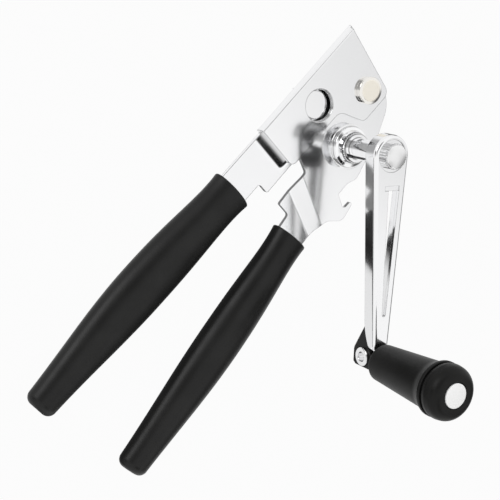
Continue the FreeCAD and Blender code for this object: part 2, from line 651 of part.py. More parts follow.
def cutter_stud():
    """Stud fixed in the back plate, its low head seen through the window, the spindle behind."""
    return turned([
        (0, Z_REST, 0),
        (STUD_SPINDLE_R - END_LAND, Z_REST, 0),
        (STUD_SPINDLE_R, Z_REST + END_LAND, 0),
        (STUD_SPINDLE_R, Z_BACK, 0),
        (STUD_SHANK_R, Z_BACK, 0),
        (STUD_SHANK_R, Z_BACK_IN, 0),
        (STUD_HEAD_R, Z_BACK_IN, 0),
        (STUD_HEAD_R, Z_BACK_IN + STUD_HEAD_H, STUD_HEAD_ROUND),
        (0, Z_BACK_IN + STUD_HEAD_H, 0),
    ], CUTTER_AXIS)


def washer(outer, inner, low, high, at):
    """Plain ring."""
    return disc(outer, low, high, at).cut(disc(inner, low - 1, high + 1, at))


def cutter_gear():
    """Gear that turns the cutting wheel, with the hub that spaces the wheel off it."""
    body = gear(CUTTER_TEETH, Z_GEAR_LOW, Z_GEAR_TOP, MESH_DEG, CUTTER_AXIS)
    hub = disc(CUTTER_HUB_R, Z_CUT_TOP, Z_GEAR_TOP, CUTTER_AXIS)
    boss = double_d(CUTTER_HUB_R - 1.2, CUTTER_HUB_R - 2.2, Z_CUT_LOW, Z_GEAR_TOP, CUTTER_AXIS)
    body = body.fuse([hub, boss]).removeSplitter()
    return body.cut(disc(STUD_SPINDLE_R + SPINDLE_FIT, Z_REST, 1, CUTTER_AXIS))


def cutter_wheel():
    """Bevelled hardened disc, keyed on the cutter gear's boss."""
    rim = 0.12
    blade = turned([
        (0, Z_CUT_TOP, 0),
        (CUTTER_WHEEL_R, Z_CUT_TOP, 0),
        (CUTTER_WHEEL_R, Z_CUT_TOP - rim, 0),
        (CUTTER_WHEEL_R - CUTTER_BEVEL, Z_CUT_LOW, 0),
        (0, Z_CUT_LOW, 0),
    ], CUTTER_AXIS)
    return blade.cut(double_d(CUTTER_HUB_R - 1.2, CUTTER_HUB_R - 2.2, Z_REST, 1, CUTTER_AXIS))


def retaining_nut(bore, at, low, high):
    """Hexagonal nut at a shaft's back end."""
    return hexagon(NUT_AF, low, high, at).cut(disc(bore, low - 1, high + 1, at))


# ---------------------------------------------------------------- crank shaft group
def shaft_bushing():
    """Stepped bearing fixed in the lower lever: hub, dished flange, step and cone."""
    bore = SHAFT_BODY_R + SHAFT_FIT
    return turned([
        (bore, Z_BACK, 0),
        (BUSH_HUB_R, Z_BACK, 0),
        (BUSH_HUB_R, Z_HEAD_TOP, 0),
        (BUSH_NECK_R, Z_HEAD_TOP, 0),
        (BUSH_NECK_R, Z_FLANGE, 0.3),
        (BUSH_FLANGE_R, Z_STEP - BUSH_RIM_T, 0.25),
        (BUSH_FLANGE_R, Z_STEP, 0.4),
        (BUSH_STEP_R, Z_STEP, 0.2),
        (BUSH_STEP_R, Z_SHOULDER, 0.4),
        (BUSH_SHOULDER_R, Z_CONE, 0.3),
        (BUSH_CONE_TOP_R, Z_COLLAR, 0),
        (bore, Z_COLLAR, 0),
    ], SHAFT_AXIS)


def bushing_collar():
    """Finely knurled ring on top of the bushing."""
    ring = serrated(COLLAR_R, COLLAR_KNURL_H, COLLAR_KNURL_COUNT, Z_COLLAR, Z_RACE, SHAFT_AXIS)
    return ring.cut(disc(SHAFT_BODY_R + SHAFT_FIT, Z_COLLAR - 1, Z_RACE + 1, SHAFT_AXIS))


def drive_shaft():
    """Crank shaft: domed serrated end, plain journal, drive flats and threaded end."""
    spline_top = ARM_FACE_Z - SEAT_DEPTH + HEAD_SPLINE_H
    journal = disc(SHAFT_BODY_R, Z_GEAR_TOP, ARM_FACE_Z - SEAT_DEPTH, SHAFT_AXIS)
    spline = serrated(HEAD_SPLINE_R, HEAD_SPLINE_DEPTH, HEAD_SPLINE_COUNT,
                      ARM_FACE_Z - SEAT_DEPTH, spline_top, SHAFT_AXIS)
    cap = dome(HEAD_DOME_R, spline_top, spline_top + 0.4, spline_top + HEAD_DOME_H, SHAFT_AXIS)
    drive = double_d(DRIVE_R, DRIVE_FLAT, Z_FEED_LOW, Z_GEAR_TOP, SHAFT_AXIS)
    thread = turned([
        (0, Z_REST, 0),
        (DRIVE_FLAT - END_LAND, Z_REST, 0),
        (DRIVE_FLAT, Z_REST + END_LAND, 0),
        (DRIVE_FLAT, Z_FEED_LOW, 0),
        (0, Z_FEED_LOW, 0),
    ], SHAFT_AXIS)
    return journal.fuse([spline, cap, drive, thread]).removeSplitter()


def drive_gear():
    """Gear on the crank shaft; its gap faces the cutter gear's tooth when the handles are closed."""
    gap_deg = MESH_DEG + 180 + CLOSE_DEG
    body = gear(DRIVE_TEETH, Z_GEAR_LOW, Z_GEAR_TOP, gap_deg + 180.0 / DRIVE_TEETH, SHAFT_AXIS)
    return body.cut(double_d(DRIVE_R, DRIVE_FLAT, Z_REST, 1, SHAFT_AXIS))


def feed_wheel():
    """Serrated wheel that walks along under the can's rim."""
    wheel = serrated(FEED_R, FEED_TOOTH_H, FEED_TEETH, Z_FEED_LOW, Z_FEED_TOP, SHAFT_AXIS)
    edge = turned([
        (0, Z_FEED_LOW, 0),
        (FEED_R - FEED_TOOTH_H, Z_FEED_LOW, 0),
        (FEED_R, Z_FEED_LOW + 0.6, 0),
        (FEED_R, Z_FEED_TOP, 0),
        (0, Z_FEED_TOP, 0),
    ], SHAFT_AXIS)
    return wheel.common(edge).cut(double_d(DRIVE_R, DRIVE_FLAT, Z_REST, 1, SHAFT_AXIS))


# ---------------------------------------------------------------- crank arm, modelled along +X
def on_crank(shape):
    """Move a piece modelled along +X from the shaft's axis into the crank's stored direction."""
    shape.rotate(vec(0, 0, 0), vec(0, 0, 1), CRANK_DEG)
    shape.translate(vec(SHAFT_AXIS[0], SHAFT_AXIS[1], 0))
    return shape


def arm_outline(inset, z):
    """Tapered outline of the arm, moved in by the wall thickness for the inside."""
    big = ARM_HEAD_R - inset
    small = ARM_END_R - inset
    lean = math.asin((big - small) / ARM_LEN)
    touch = [vec(big * math.sin(lean), big * math.cos(lean), z),
             vec(ARM_LEN + small * math.sin(lean), small * math.cos(lean), z)]
    under = [vec(p.x, -p.y, z) for p in touch]
    return Part.Wire([
        Part.makeLine(touch[0], touch[1]),
        Part.Arc(touch[1], vec(ARM_LEN + small, 0, z), under[1]).toShape(),
        Part.makeLine(under[1], under[0]),
        Part.Arc(under[0], vec(-big, 0, z), touch[0]).toShape(),
    ])


def arm_shell(inset, low, high):
    """Prism of the arm's outline."""
    return Part.Face(arm_outline(inset, low)).extrude(vec(0, 0, high - low))


def end_fade():
    """Block that takes the side walls away in a sweep towards the arm's rounded end."""
    start = ARM_END_U - ARM_FADE
    rise = ARM_DEPTH - ARM_T - 0.4
    curve = Part.Arc(vec(start, 0, ARM_BACK_Z), vec(start + ARM_FADE * 0.62, 0, ARM_BACK_Z + rise * 0.36),
                     vec(ARM_END_U + 1, 0, ARM_BACK_Z + rise)).toShape()
    wire = Part.Wire([
        curve,
        Part.makeLine(vec(ARM_END_U + 1, 0, ARM_BACK_Z + rise), vec(ARM_END_U + 1, 0, ARM_BACK_Z - 1)),
        Part.makeLine(vec(ARM_END_U + 1, 0, ARM_BACK_Z - 1), vec(start, 0, ARM_BACK_Z - 1)),
        Part.makeLine(vec(start, 0, ARM_BACK_Z - 1), vec(start, 0, ARM_BACK_Z)),
    ])
    block = Part.Face(wire).extrude(vec(0, 4 * ARM_END_R, 0))
    block.translate(vec(0, -2 * ARM_END_R, 0))
    return block


def crank_arm():
    """Pressed steel channel, tapered, with a tapered slot and a seat for the shaft's end."""
    outer = arm_shell(0, ARM_BACK_Z, ARM_FACE_Z)
    rim = [edge for edge in outer.Edges if edge.BoundBox.ZMin > ARM_FACE_Z - 0.01]
    outer = outer.makeFillet(ARM_EDGE_R, rim)
    arm = outer.cut(arm_shell(ARM_T, ARM_BACK_Z - 1, ARM_IN_Z)).cut(end_fade())
    slot = slab([
        (SLOT_TOP_U, SLOT_TOP_LO, 0.3),
        (SLOT_END_U, SLOT_END_LO, 1.0),
        (SLOT_END_U, SLOT_END_HI, 1.0),
        (SLOT_TOP_U, SLOT_TOP_HI, 0.3),
    ], ARM_BACK_Z, ARM_FACE_Z + 1)
    coin = Part.makeBox(SLOT_COIN_LEN, SLOT_TOP_HI - SLOT_TOP_LO + 2, SLOT_COIN,
                        vec(SLOT_TOP_U - SLOT_COIN_LEN, SLOT_TOP_LO - 2, ARM_FACE_Z - SLOT_COIN))
    seat = disc(SEAT_R, ARM_FACE_Z - SEAT_DEPTH, ARM_FACE_Z + 1)
    hole = disc(SHAFT_BODY_R, ARM_BACK_Z, ARM_FACE_Z + 1)
    stud = disc(SCREW_R, ARM_BACK_Z, ARM_FACE_Z - SCREW_BLIND)
    stud.translate(vec(SCREW_U, 0, 0))
    return on_crank(arm.cut(slot.fuse([coin, seat, hole, stud])))


def knob_bracket():
    """Black hinge block: fills the arm's end from behind and forms two cheeks for the fold pin."""
    under = PIN_Z - BRACKET_BELOW
    top = ARM_FACE_Z - BRACKET_TOP_GAP
    nose = KNOB_U + BRACKET_NOSE
    side = rounded_wire([
        (BRACKET_ROOT_U, ARM_IN_Z, 0),
        (BRACKET_ROOT_U, ARM_BACK_Z + 1.6, 0),
        (KNOB_U - BRACKET_HEEL, under, 4.0),
        (nose - 1.2, under, 1.0),
        (nose, under + 1.8, 1.2),
        (nose, top - 1.2, 2.4),
        (KNOB_U + 2.2, top, 2.0),
        (ARM_END_U - 0.4, top, 0),
        (ARM_END_U - 0.4, ARM_IN_Z, 0),
    ])
    face = Part.Face(side)
    face.Placement = FreeCAD.Placement(vec(0, BRACKET_W, 0), FreeCAD.Rotation(vec(1, 0, 0), 90))
    block = face.extrude(vec(0, -2 * BRACKET_W, 0))
    sheath = Part.makeBox(ARM_END_U - BRACKET_ROOT_U + 1, 4 * BRACKET_W, 2 * ARM_DEPTH,
                          vec(BRACKET_ROOT_U - 1, -2 * BRACKET_W, ARM_BACK_Z)).cut(end_fade())
    inside = arm_shell(ARM_T + BRACKET_FIT, ARM_BACK_Z, ARM_IN_Z)
    body = block.cut(sheath).fuse(block.common(inside)).removeSplitter()
    throat = Part.makeBox(nose, 2 * (EYE_HALF_W + EYE_GAP), ARM_FACE_Z - PIN_Z,
                          vec(KNOB_U - STEM_R - 0.2, -EYE_HALF_W - EYE_GAP, PIN_Z))
    pocket = Part.makeCylinder(EYE_R + EYE_CLEAR, 2 * (EYE_HALF_W + EYE_GAP),
                               vec(PIN_U, -EYE_HALF_W - EYE_GAP, PIN_Z), vec(0, 1, 0))
    exit_low = Part.makeBox(nose, 2 * (EYE_HALF_W + EYE_GAP), BRACKET_BELOW + 1,
                            vec(PIN_U, -EYE_HALF_W - EYE_GAP, under - 1))
    bore = Part.makeCylinder(PIN_R, 4 * BRACKET_W, vec(PIN_U, -2 * BRACKET_W, PIN_Z), vec(0, 1, 0))
    well = Part.makeCylinder(SCREW_R, 2 * ARM_DEPTH, vec(SCREW_U, 0, ARM_BACK_Z - ARM_DEPTH))
    head = Part.makeCylinder(SCREW_HEAD_R, 2 * ARM_DEPTH, vec(SCREW_U, 0, ARM_BACK_Z + SCREW_SEAT - 2 * ARM_DEPTH))
    return on_crank(body.cut(throat.fuse([pocket, exit_low, bore, well, head])))


def bracket_screw():
    """Screw that holds the bracket in the arm, from behind."""
    screw = turned([
        (0, ARM_BACK_Z + SCREW_SEAT - SCREW_HEAD_H, 0),
        (SCREW_HEAD_R - SCREW_CLEAR, ARM_BACK_Z + SCREW_SEAT - SCREW_HEAD_H, 0.4),
        (SCREW_HEAD_R - SCREW_CLEAR, ARM_BACK_Z + SCREW_SEAT, 0),
        (SCREW_R, ARM_BACK_Z + SCREW_SEAT, 0),
        (SCREW_R, ARM_FACE_Z - SCREW_BLIND - 0.1, 0),
        (0, ARM_FACE_Z - SCREW_BLIND - 0.1, 0),
    ], (SCREW_U, 0))
    return on_crank(screw)


def fold_pin():
    """Hollow eyelet rivet through both cheeks of the bracket."""
    half = BRACKET_W
    profile = [
        (PIN_BORE_R, -half - PIN_HEAD_T, 0.4),
        (PIN_HEAD_R, -half - PIN_HEAD_T, 0.5),
        (PIN_HEAD_R, -half, 0),
        (PIN_R, -half, 0),
        (PIN_R, half, 0),
        (PIN_HEAD_R, half, 0),
        (PIN_HEAD_R, half + PIN_HEAD_T, 0.5),
        (PIN_BORE_R, half + PIN_HEAD_T, 0.4),
    ]
    pin = turned(profile)
    pin.rotate(vec(0, 0, 0), vec(1, 0, 0), 90)
    pin.translate(vec(PIN_U, 0, PIN_Z))
    return on_crank(pin)


def knob_stem():
    """Stem that folds on the pin: flat eye, collar and the spindle the knob turns on."""
    eye = Part.makeCylinder(EYE_R, 2 * EYE_HALF_W, vec(PIN_U, -EYE_HALF_W, PIN_Z), vec(0, 1, 0))
    rod = disc(STEM_R, PIN_Z, Z_BUTTON, (KNOB_U, 0))
    collar = disc(STEM_COLLAR_R, Z_COLLAR_LOW, Z_KNOB_WASHER, (KNOB_U, 0))
    bore = Part.makeCylinder(PIN_R + PIN_FIT, 4 * EYE_HALF_W, vec(PIN_U, -2 * EYE_HALF_W, PIN_Z), vec(0, 1, 0))
    return on_crank(eye.fuse([rod, collar]).removeSplitter().cut(bore))


def knob_body():
    """Tapered black handle with a flared rim and the groove's inner neck."""
    bore = STEM_R + KNOB_BORE_FIT
    body = turned([
        (bore, Z_KNOB, 0),
        (KNOB_BASE_R, Z_KNOB, KNOB_BASE_ROUND),
        (KNOB_WAIST_R, Z_WAIST, 9.0),
        (KNOB_RIM_R, Z_RIM, 0.6),
        (KNOB_RIM_R, Z_GROOVE, 0.5),
        (GROOVE_R, Z_GROOVE, 0),
        (GROOVE_R, Z_CAP, 0),
        (bore, Z_CAP, 0),
    ], (KNOB_U, 0))
    return on_crank(body)


def knob_cap():
    """Rounded end ring of the knob, with a shallow dish for the end button."""
    bore = STEM_R + KNOB_BORE_FIT
    cap = turned([
        (bore, Z_CAP, 0),
        (CAP_R - 0.3, Z_CAP, 0.5),
        (CAP_R, Z_CAP + 2.0, 3.0),
        (CAP_R - 0.9, Z_CAP_TOP, CAP_EDGE_R),
        (CAP_RECESS_R, Z_CAP_TOP, 0.5),
        (CAP_RECESS_R, Z_CAP_TOP - CAP_RECESS, 0),
        (bore, Z_CAP_TOP - CAP_RECESS, 0),
    ], (KNOB_U, 0))
    return on_crank(cap)


def knob_button():
    """Low domed button fixed to the stem's end, which keeps the knob on."""
    return on_crank(dome(BUTTON_R, Z_BUTTON, Z_BUTTON + BUTTON_H * 0.6, Z_BUTTON + BUTTON_H, (KNOB_U, 0)))


def knob_washer():
    """Thin washer under the knob."""
    top = Z_KNOB - KNOB_GAP
    return on_crank(washer(KNOB_WASHER_R, STEM_R, Z_KNOB_WASHER, top, (KNOB_U, 0)))


def main():
    """Build every piece and write one STEP file for each."""
    nut_low = Z_REST
    spindle_bore = STUD_SPINDLE_R
    pieces = {
        "upper_lever": upper_lever(),
        "lower_lever": lower_lever(),
        "upper_grip": upper_grip(),
        "lower_grip": lower_grip(),
        "pivot_rivet": pivot_rivet(),
        "cutter_stud": cutter_stud(),
        "cutter_washer": washer(GEAR_WASHER_R, STUD_SPINDLE_R, Z_GEAR_TOP + 0.05, Z_BACK, CUTTER_AXIS),
        "cutter_gear": cutter_gear(),
        "cutter_wheel": cutter_wheel(),
        "cutter_nut": retaining_nut(spindle_bore, CUTTER_AXIS, nut_low, nut_low + NUT_H),
        "shaft_bushing": shaft_bushing(),
        "bushing_collar": bushing_collar(),
        "thrust_washer": washer(RACE_R, SHAFT_BODY_R, Z_RACE + 0.05, Z_RACE_TOP, SHAFT_AXIS),
        "drive_shaft": drive_shaft(),
        "drive_gear": drive_gear(),
        "feed_wheel": feed_wheel(),
        "feed_nut": retaining_nut(DRIVE_FLAT, SHAFT_AXIS, nut_low, Z_FEED_LOW),
        "hub_washer": washer(HUB_WASHER_R, SHAFT_BODY_R, ARM_IN_Z - HUB_WASHER_H, ARM_IN_Z, SHAFT_AXIS),
        "crank_arm": crank_arm(),
        "knob_bracket": knob_bracket(),
        "bracket_screw": bracket_screw(),
        "fold_pin": fold_pin(),
        "knob_stem": knob_stem(),
        "knob_washer": knob_washer(),
        "knob_body": knob_body(),
        "knob_cap": knob_cap(),
        "knob_button": knob_button(),
    }
    os.makedirs("parts", exist_ok=True)
    origin = vec(-CUTTER_AXIS[0], -CUTTER_AXIS[1], -Z_REST)
    for name, shape in pieces.items():
        shape.translate(origin)
        if not shape.isValid():
            print("not valid:", name)
        shape.exportStep(os.path.join("parts", name + ".step"))
    print("closing angle", round(CLOSE_DEG, 3), "rest plane", round(Z_REST, 3))


main()
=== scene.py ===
"""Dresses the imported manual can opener: finishes, two lines in the window's bore, studio and camera."""
import json
import logging
import math
from dataclasses import dataclass, field
from enum import Enum
from typing import Sequence

import bmesh
import bpy
from mathutils import Matrix, Vector


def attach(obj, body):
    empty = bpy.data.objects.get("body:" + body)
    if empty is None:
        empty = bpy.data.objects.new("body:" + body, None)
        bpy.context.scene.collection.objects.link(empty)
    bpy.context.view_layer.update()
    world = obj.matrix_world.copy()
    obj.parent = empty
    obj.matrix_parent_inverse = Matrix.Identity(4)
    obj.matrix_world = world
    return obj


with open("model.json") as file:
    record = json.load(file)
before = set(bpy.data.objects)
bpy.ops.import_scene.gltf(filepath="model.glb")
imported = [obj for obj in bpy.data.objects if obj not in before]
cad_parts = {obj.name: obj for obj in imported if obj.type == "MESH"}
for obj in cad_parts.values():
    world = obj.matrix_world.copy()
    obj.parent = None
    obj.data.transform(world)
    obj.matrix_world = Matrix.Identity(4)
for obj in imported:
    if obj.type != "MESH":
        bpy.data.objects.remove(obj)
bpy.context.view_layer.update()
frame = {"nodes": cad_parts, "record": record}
LOG = logging.getLogger("can_opener")

Colour = tuple[float, float, float]
Point = tuple[float, float, float]
Socket = bpy.types.NodeSocket

WHITE: Colour = (1.0, 1.0, 1.0)
# Painted shade: dark lines along the edges of turned metal.
PAINTED_EDGE_SHADE: Colour = (0.06, 0.06, 0.06)
# Painted shade in the nooks of metal.
PAINTED_NOOK_SHADE: Colour = (0.03, 0.03, 0.03)
# Painted shade on metal faces that look down.
PAINTED_UNDERSIDE_SHADE: Colour = (0.06, 0.06, 0.062)
BEVEL_SAMPLES = 6
NOOK_SHADE_SAMPLES = 8
TURNING_PITCH = 5200.0
RING_SEGMENTS = 14
RING_STEPS = 120


class Finish(Enum):
    """The record's material slots, and the finishes that single pieces have instead."""

    SHEET = "chrome_sheet"
    TURNED = "chrome_turned"
    NICKEL = "rivet_nickel"
    ZINC = "zinc_steel"
    GROUND = "hard_steel"
    GRIP = "grip_black"
    KNOB = "knob_black"
    BRACKET = "bracket_black"
    BUTTON = "button_white"
    ARM = "chrome_arm"
    CHANNEL = "chrome_channel"
    SHAFT = "chrome_shaft"


# ---------------------------------------------------------------- node helpers
class NodeSheet:
    """A thin layer over a node tree, so that a shader reads from left to right."""

    def __init__(self, tree: bpy.types.NodeTree) -> None:
        """Empties the tree and keeps it.

        Args:
            tree: the node tree to fill.
        """
        tree.nodes.clear()
        self.tree = tree

    def add(self, kind: str, inputs: dict[str | int, object] | None = None,
            **settings: object) -> bpy.types.Node:
        """Adds a node and sets or links its inputs.

        Args:
            kind: the node's type name.
            inputs: socket name or index to a value or to another node's output.
            settings: attributes of the node.

        Returns:
            The new node.
        """
        node = self.tree.nodes.new(kind)
        for name, value in settings.items():
            setattr(node, name, value)
        for key, value in (inputs or {}).items():
            if isinstance(value, bpy.types.NodeSocket):
                self.tree.links.new(value, node.inputs[key])
            else:
                node.inputs[key].default_value = value
        return node

    def math(self, operation: str, first: object, second: object = 0.0, clamp: bool = False) -> Socket:
        """Adds a Math node.

        Args:
            operation: the operation's name.
            first: first value or socket.
            second: second value or socket.
            clamp: keeps the result between 0 and 1.

        Returns:
            The result's socket.
        """
        inputs = {0: first, 1: second}
        return self.add("ShaderNodeMath", inputs, operation=operation, use_clamp=clamp).outputs[0]

    def ramp(self, value: Socket, low: object, high: float, out_low: float = 0.0,
             out_high: float = 1.0) -> Socket:
        """Maps a value from one range to another, smoothly and clamped.

        Args:
            value: the socket to map.
            low: value or socket that gives out_low.
            high: value that gives out_high.
            out_low: result at the low end.
            out_high: result at the high end.

        Returns:
            The mapped value's socket.
        """
        inputs = {"Value": value, "From Min": low, "From Max": high, "To Min": out_low, "To Max": out_high}
        return self.add("ShaderNodeMapRange", inputs, interpolation_type="SMOOTHSTEP").outputs["Result"]

    def mix(self, factor: object, first: object, second: object) -> Socket:
        """Mixes two colours.

        Args:
            factor: value or socket, 0 for the first colour.
            first: colour or socket.
            second: colour or socket.

        Returns:
            The mixed colour's socket.
        """
        node = self.add("ShaderNodeMix", data_type="RGBA")
        for index, value in ((0, factor), (6, first), (7, second)):
            if isinstance(value, bpy.types.NodeSocket):
                self.tree.links.new(value, node.inputs[index])
            else:
                node.inputs[index].default_value = value
        return node.outputs[2]

    def place(self) -> Socket:
        """Gives the surface point in the object's own frame."""
        return self.add("ShaderNodeTexCoord").outputs["Object"]

    def axis(self, vector: Socket, name: str) -> Socket:
        """Takes one part of a vector.

        Args:
            vector: the vector's socket.
            name: X, Y or Z.

        Returns:
            The part's socket.
        """
        return self.add("ShaderNodeSeparateXYZ", {0: vector}).outputs[name]

    def vector(self, operation: str, first: object, second: object = (0.0, 0.0, 0.0)) -> bpy.types.Node:
        """Adds a Vector Math node.

        Args:
            operation: the operation's name.
            first: first vector or socket.
            second: second vector or socket.

        Returns:
            The node, as its result is a vector or a value.
        """
        return self.add("ShaderNodeVectorMath", {0: first, 1: second}, operation=operation)

    def rounded(self, reach: object) -> Socket:
        """Gives the normal as if edges were rounded.

        Args:
            reach: radius in metres, a value or a socket.

        Returns:
            The rounded normal.
        """
        return self.add("ShaderNodeBevel", {"Radius": reach}, samples=BEVEL_SAMPLES).outputs[0]

    def bump(self, height: Socket, distance: float, strength: object, normal: Socket) -> Socket:
        """Tilts a normal by a height.

        Args:
            height: the height's socket, from 0 to 1.
            distance: metres that a height of 1 stands for.
            strength: value or socket, 0 for none of it.
            normal: the normal so far.

        Returns:
            The tilted normal.
        """
        return self.add("ShaderNodeBump", {
            "Height": height, "Distance": distance, "Strength": strength, "Normal": normal}).outputs[0]

    def surface(self, **inputs: object) -> None:
        """Ends a material with a Principled surface.

        Args:
            inputs: its inputs, with an underscore for each space in a name.
        """
        named = {name.replace("_", " "): value for name, value in inputs.items()}
        shader = self.add("ShaderNodeBsdfPrincipled", named)
        self.add("ShaderNodeOutputMaterial", {"Surface": shader.outputs[0]})


def rgba(colour: Colour) -> tuple[float, float, float, float]:
    """Adds full opacity to a colour."""
    return (*colour, 1.0)


def new_group(name: str, inputs: Sequence[tuple[str, float]],
              outputs: Sequence[str]) -> tuple[NodeSheet, bpy.types.Node, bpy.types.Node]:
    """Starts a shader node group with plain number sockets.

    Args:
        name: the group's name.
        inputs: names and default values of its inputs.
        outputs: names of its outputs.

    Returns:
        The group's sheet, its input node and its output node.
    """
    tree = bpy.data.node_groups.new(name, "ShaderNodeTree")
    sheet = NodeSheet(tree)
    for label, value in inputs:
        socket = tree.interface.new_socket(name=label, in_out="INPUT", socket_type="NodeSocketFloat")
        socket.default_value = value
    for label in outputs:
        tree.interface.new_socket(name=label, in_out="OUTPUT", socket_type="NodeSocketFloat")
    return sheet, sheet.add("NodeGroupInput"), sheet.add("NodeGroupOutput")


class Effects:
    """Shared surface effects, each built once as a node group."""

    LINE_STRETCH = (60.0, 2600.0, 2600.0)
    WAVE_SCALE = 42.0
    SMUDGE_START = 0.78
    SMUDGE_FULL = 0.86
    FINE_SCALE = 2400.0
    MOTTLE_SCALE = 90.0
    CELL_SHARE = 0.7
    FINE_SHARE = 0.3

    def __init__(self) -> None:
        """Builds the groups."""
        self.polish = self._polish()
        self.smudge = self._smudge()
        self.grain = self._grain()
        self.edge = self._edge()
        self.lathe = self._lathe()

    def _polish(self) -> bpy.types.NodeTree:
        """Fine straight polishing lines at a chosen direction.

        Returns:
            The group, with outputs Lines and Wave.
        """
        sheet, inside, outside = new_group(
            "polish_lines", [("Turn", 0.0), ("Fineness", 1.0)], ["Lines", "Wave"])
        place = sheet.place()
        turn = sheet.add("ShaderNodeCombineXYZ", {"Z": inside.outputs["Turn"]}).outputs[0]
        mapped = sheet.add("ShaderNodeMapping", {
            "Vector": place, "Rotation": turn, "Scale": self.LINE_STRETCH})
        lines = sheet.add("ShaderNodeTexNoise", {
            "Vector": mapped.outputs[0], "Scale": inside.outputs["Fineness"], "Detail": 3.0,
            "Roughness": 0.6})
        broad = sheet.add("ShaderNodeTexNoise", {
            "Vector": place, "Scale": self.WAVE_SCALE, "Detail": 1.5, "Roughness": 0.4})
        sheet.tree.links.new(lines.outputs["Fac"], outside.inputs["Lines"])
        sheet.tree.links.new(broad.outputs["Fac"], outside.inputs["Wave"])
        return sheet.tree

    def _smudge(self) -> bpy.types.NodeTree:
        """Soft patches of handling marks.

        Returns:
            The group, with output Mask.
        """
        sheet, inside, outside = new_group(
            "handling_marks", [("Size", 60.0), ("Cover", 0.5)], ["Mask"])
        noise = sheet.add("ShaderNodeTexNoise", {
            "Vector": sheet.place(), "Scale": inside.outputs["Size"], "Detail": 5.0, "Roughness": 0.62,
            "Distortion": 0.6})
        low = sheet.math("SUBTRACT", self.SMUDGE_START, inside.outputs["Cover"])
        mask = sheet.ramp(noise.outputs["Fac"], low, self.SMUDGE_FULL)
        sheet.tree.links.new(mask, outside.inputs["Mask"])
        return sheet.tree

    def _grain(self) -> bpy.types.NodeTree:
        """Pebbled skin of a moulded surface.

        Returns:
            The group, with outputs Height and Mottle.
        """
        sheet, inside, outside = new_group("moulded_grain", [("Scale", 1800.0)], ["Height", "Mottle"])
        place = sheet.place()
        cells = sheet.add("ShaderNodeTexVoronoi", {"Vector": place, "Scale": inside.outputs["Scale"]},
                          feature="SMOOTH_F1")
        fine = sheet.add("ShaderNodeTexNoise", {
            "Vector": place, "Scale": self.FINE_SCALE, "Detail": 2.0})
        mottle = sheet.add("ShaderNodeTexNoise", {
            "Vector": place, "Scale": self.MOTTLE_SCALE, "Detail": 4.0})
        height = sheet.math("ADD", sheet.math("MULTIPLY", cells.outputs["Distance"], self.CELL_SHARE),
                            sheet.math("MULTIPLY", fine.outputs["Fac"], self.FINE_SHARE))
        sheet.tree.links.new(height, outside.inputs["Height"])
        sheet.tree.links.new(mottle.outputs["Fac"], outside.inputs["Mottle"])
        return sheet.tree

    def _edge(self) -> bpy.types.NodeTree:
        """Mask of sharp edges, from how far a rounded normal turns away from the face's own; finishes paint
        shade or highlights along edges with it.

        Returns:
            The group, with output Mask.
        """
        sheet, inside, outside = new_group("painted_edge_shade_and_highlight", [("Reach", 0.0004), ("Gain", 3.0)], ["Mask"])
        plain = sheet.add("ShaderNodeNewGeometry").outputs["Normal"]
        dot = sheet.vector("DOT_PRODUCT", sheet.rounded(inside.outputs["Reach"]), plain)
        turn = sheet.math("SUBTRACT", 1.0, dot.outputs["Value"])
        mask = sheet.math("MULTIPLY", turn, inside.outputs["Gain"], clamp=True)
        sheet.tree.links.new(mask, outside.inputs["Mask"])
        return sheet.tree

    def _lathe(self) -> bpy.types.NodeTree:
        """Concentric turning marks about an upright axis through a point.

        Returns:
            The group, with output Rings.
        """
        sheet, inside, outside = new_group(
            "turning_marks", [("Centre X", 0.0), ("Centre Y", 0.0), ("Pitch", TURNING_PITCH)], ["Rings"])
        centre = sheet.add("ShaderNodeCombineXYZ", {
            "X": inside.outputs["Centre X"], "Y": inside.outputs["Centre Y"]})
        away = sheet.vector("SUBTRACT", sheet.place(), centre.outputs[0])
        flat = sheet.vector("MULTIPLY", away.outputs[0], (1.0, 1.0, 0.0))
        radius = sheet.vector("LENGTH", flat.outputs[0]).outputs["Value"]
        noise = sheet.add("ShaderNodeTexNoise", {
            "W": sheet.math("MULTIPLY", radius, inside.outputs["Pitch"]), "Scale": 1.0, "Detail": 2.0},
            noise_dimensions="1D")
        sheet.tree.links.new(noise.outputs["Fac"], outside.inputs["Rings"])
        return sheet.tree


# ---------------------------------------------------------------- finishes
def fresh_material(name: str) -> tuple[bpy.types.Material, NodeSheet]:
    """Makes an empty node material.

    Args:
        name: the material's name.

    Returns:
        The material and its node sheet.
    """
    material = bpy.data.materials.new(name)
    material.use_nodes = True
    return material, NodeSheet(material.node_tree)


def place_group(sheet: NodeSheet, group: bpy.types.NodeTree, values: dict[str, float]) -> bpy.types.Node:
    """Places a shared effect in a material.

    Args:
        sheet: the material's sheet.
        group: the effect's node group.
        values: its input values.

    Returns:
        The group node.
    """
    node = sheet.add("ShaderNodeGroup", node_tree=group)
    for name, value in values.items():
        node.inputs[name].default_value = value
    return node


@dataclass(frozen=True)
class PressStep:
    """The look of a step pressed across a sheet, square to the X axis.

    It is a bump of the shading and changes no shape.  The rise sets how far the mirrored light turns, and
    it isn't the height of a real step.
    """

    start_x: float
    end_x: float
    rise: float
    fade_low_y: float
    fade_high_y: float
    top_z: float

    def bend(self, sheet: NodeSheet, normal: Socket) -> Socket:
        """Tilts the normal over the step.

        Args:
            sheet: the material's sheet.
            normal: the normal so far.

        Returns:
            The bent normal.
        """
        place = sheet.place()
        height = sheet.ramp(sheet.axis(place, "X"), self.start_x, self.end_x)
        below = sheet.math("LESS_THAN", sheet.axis(place, "Z"), self.top_z)
        across = sheet.ramp(sheet.axis(place, "Y"), self.fade_low_y, self.fade_high_y)
        return sheet.bump(height, self.rise, sheet.math("MULTIPLY", below, across), normal)


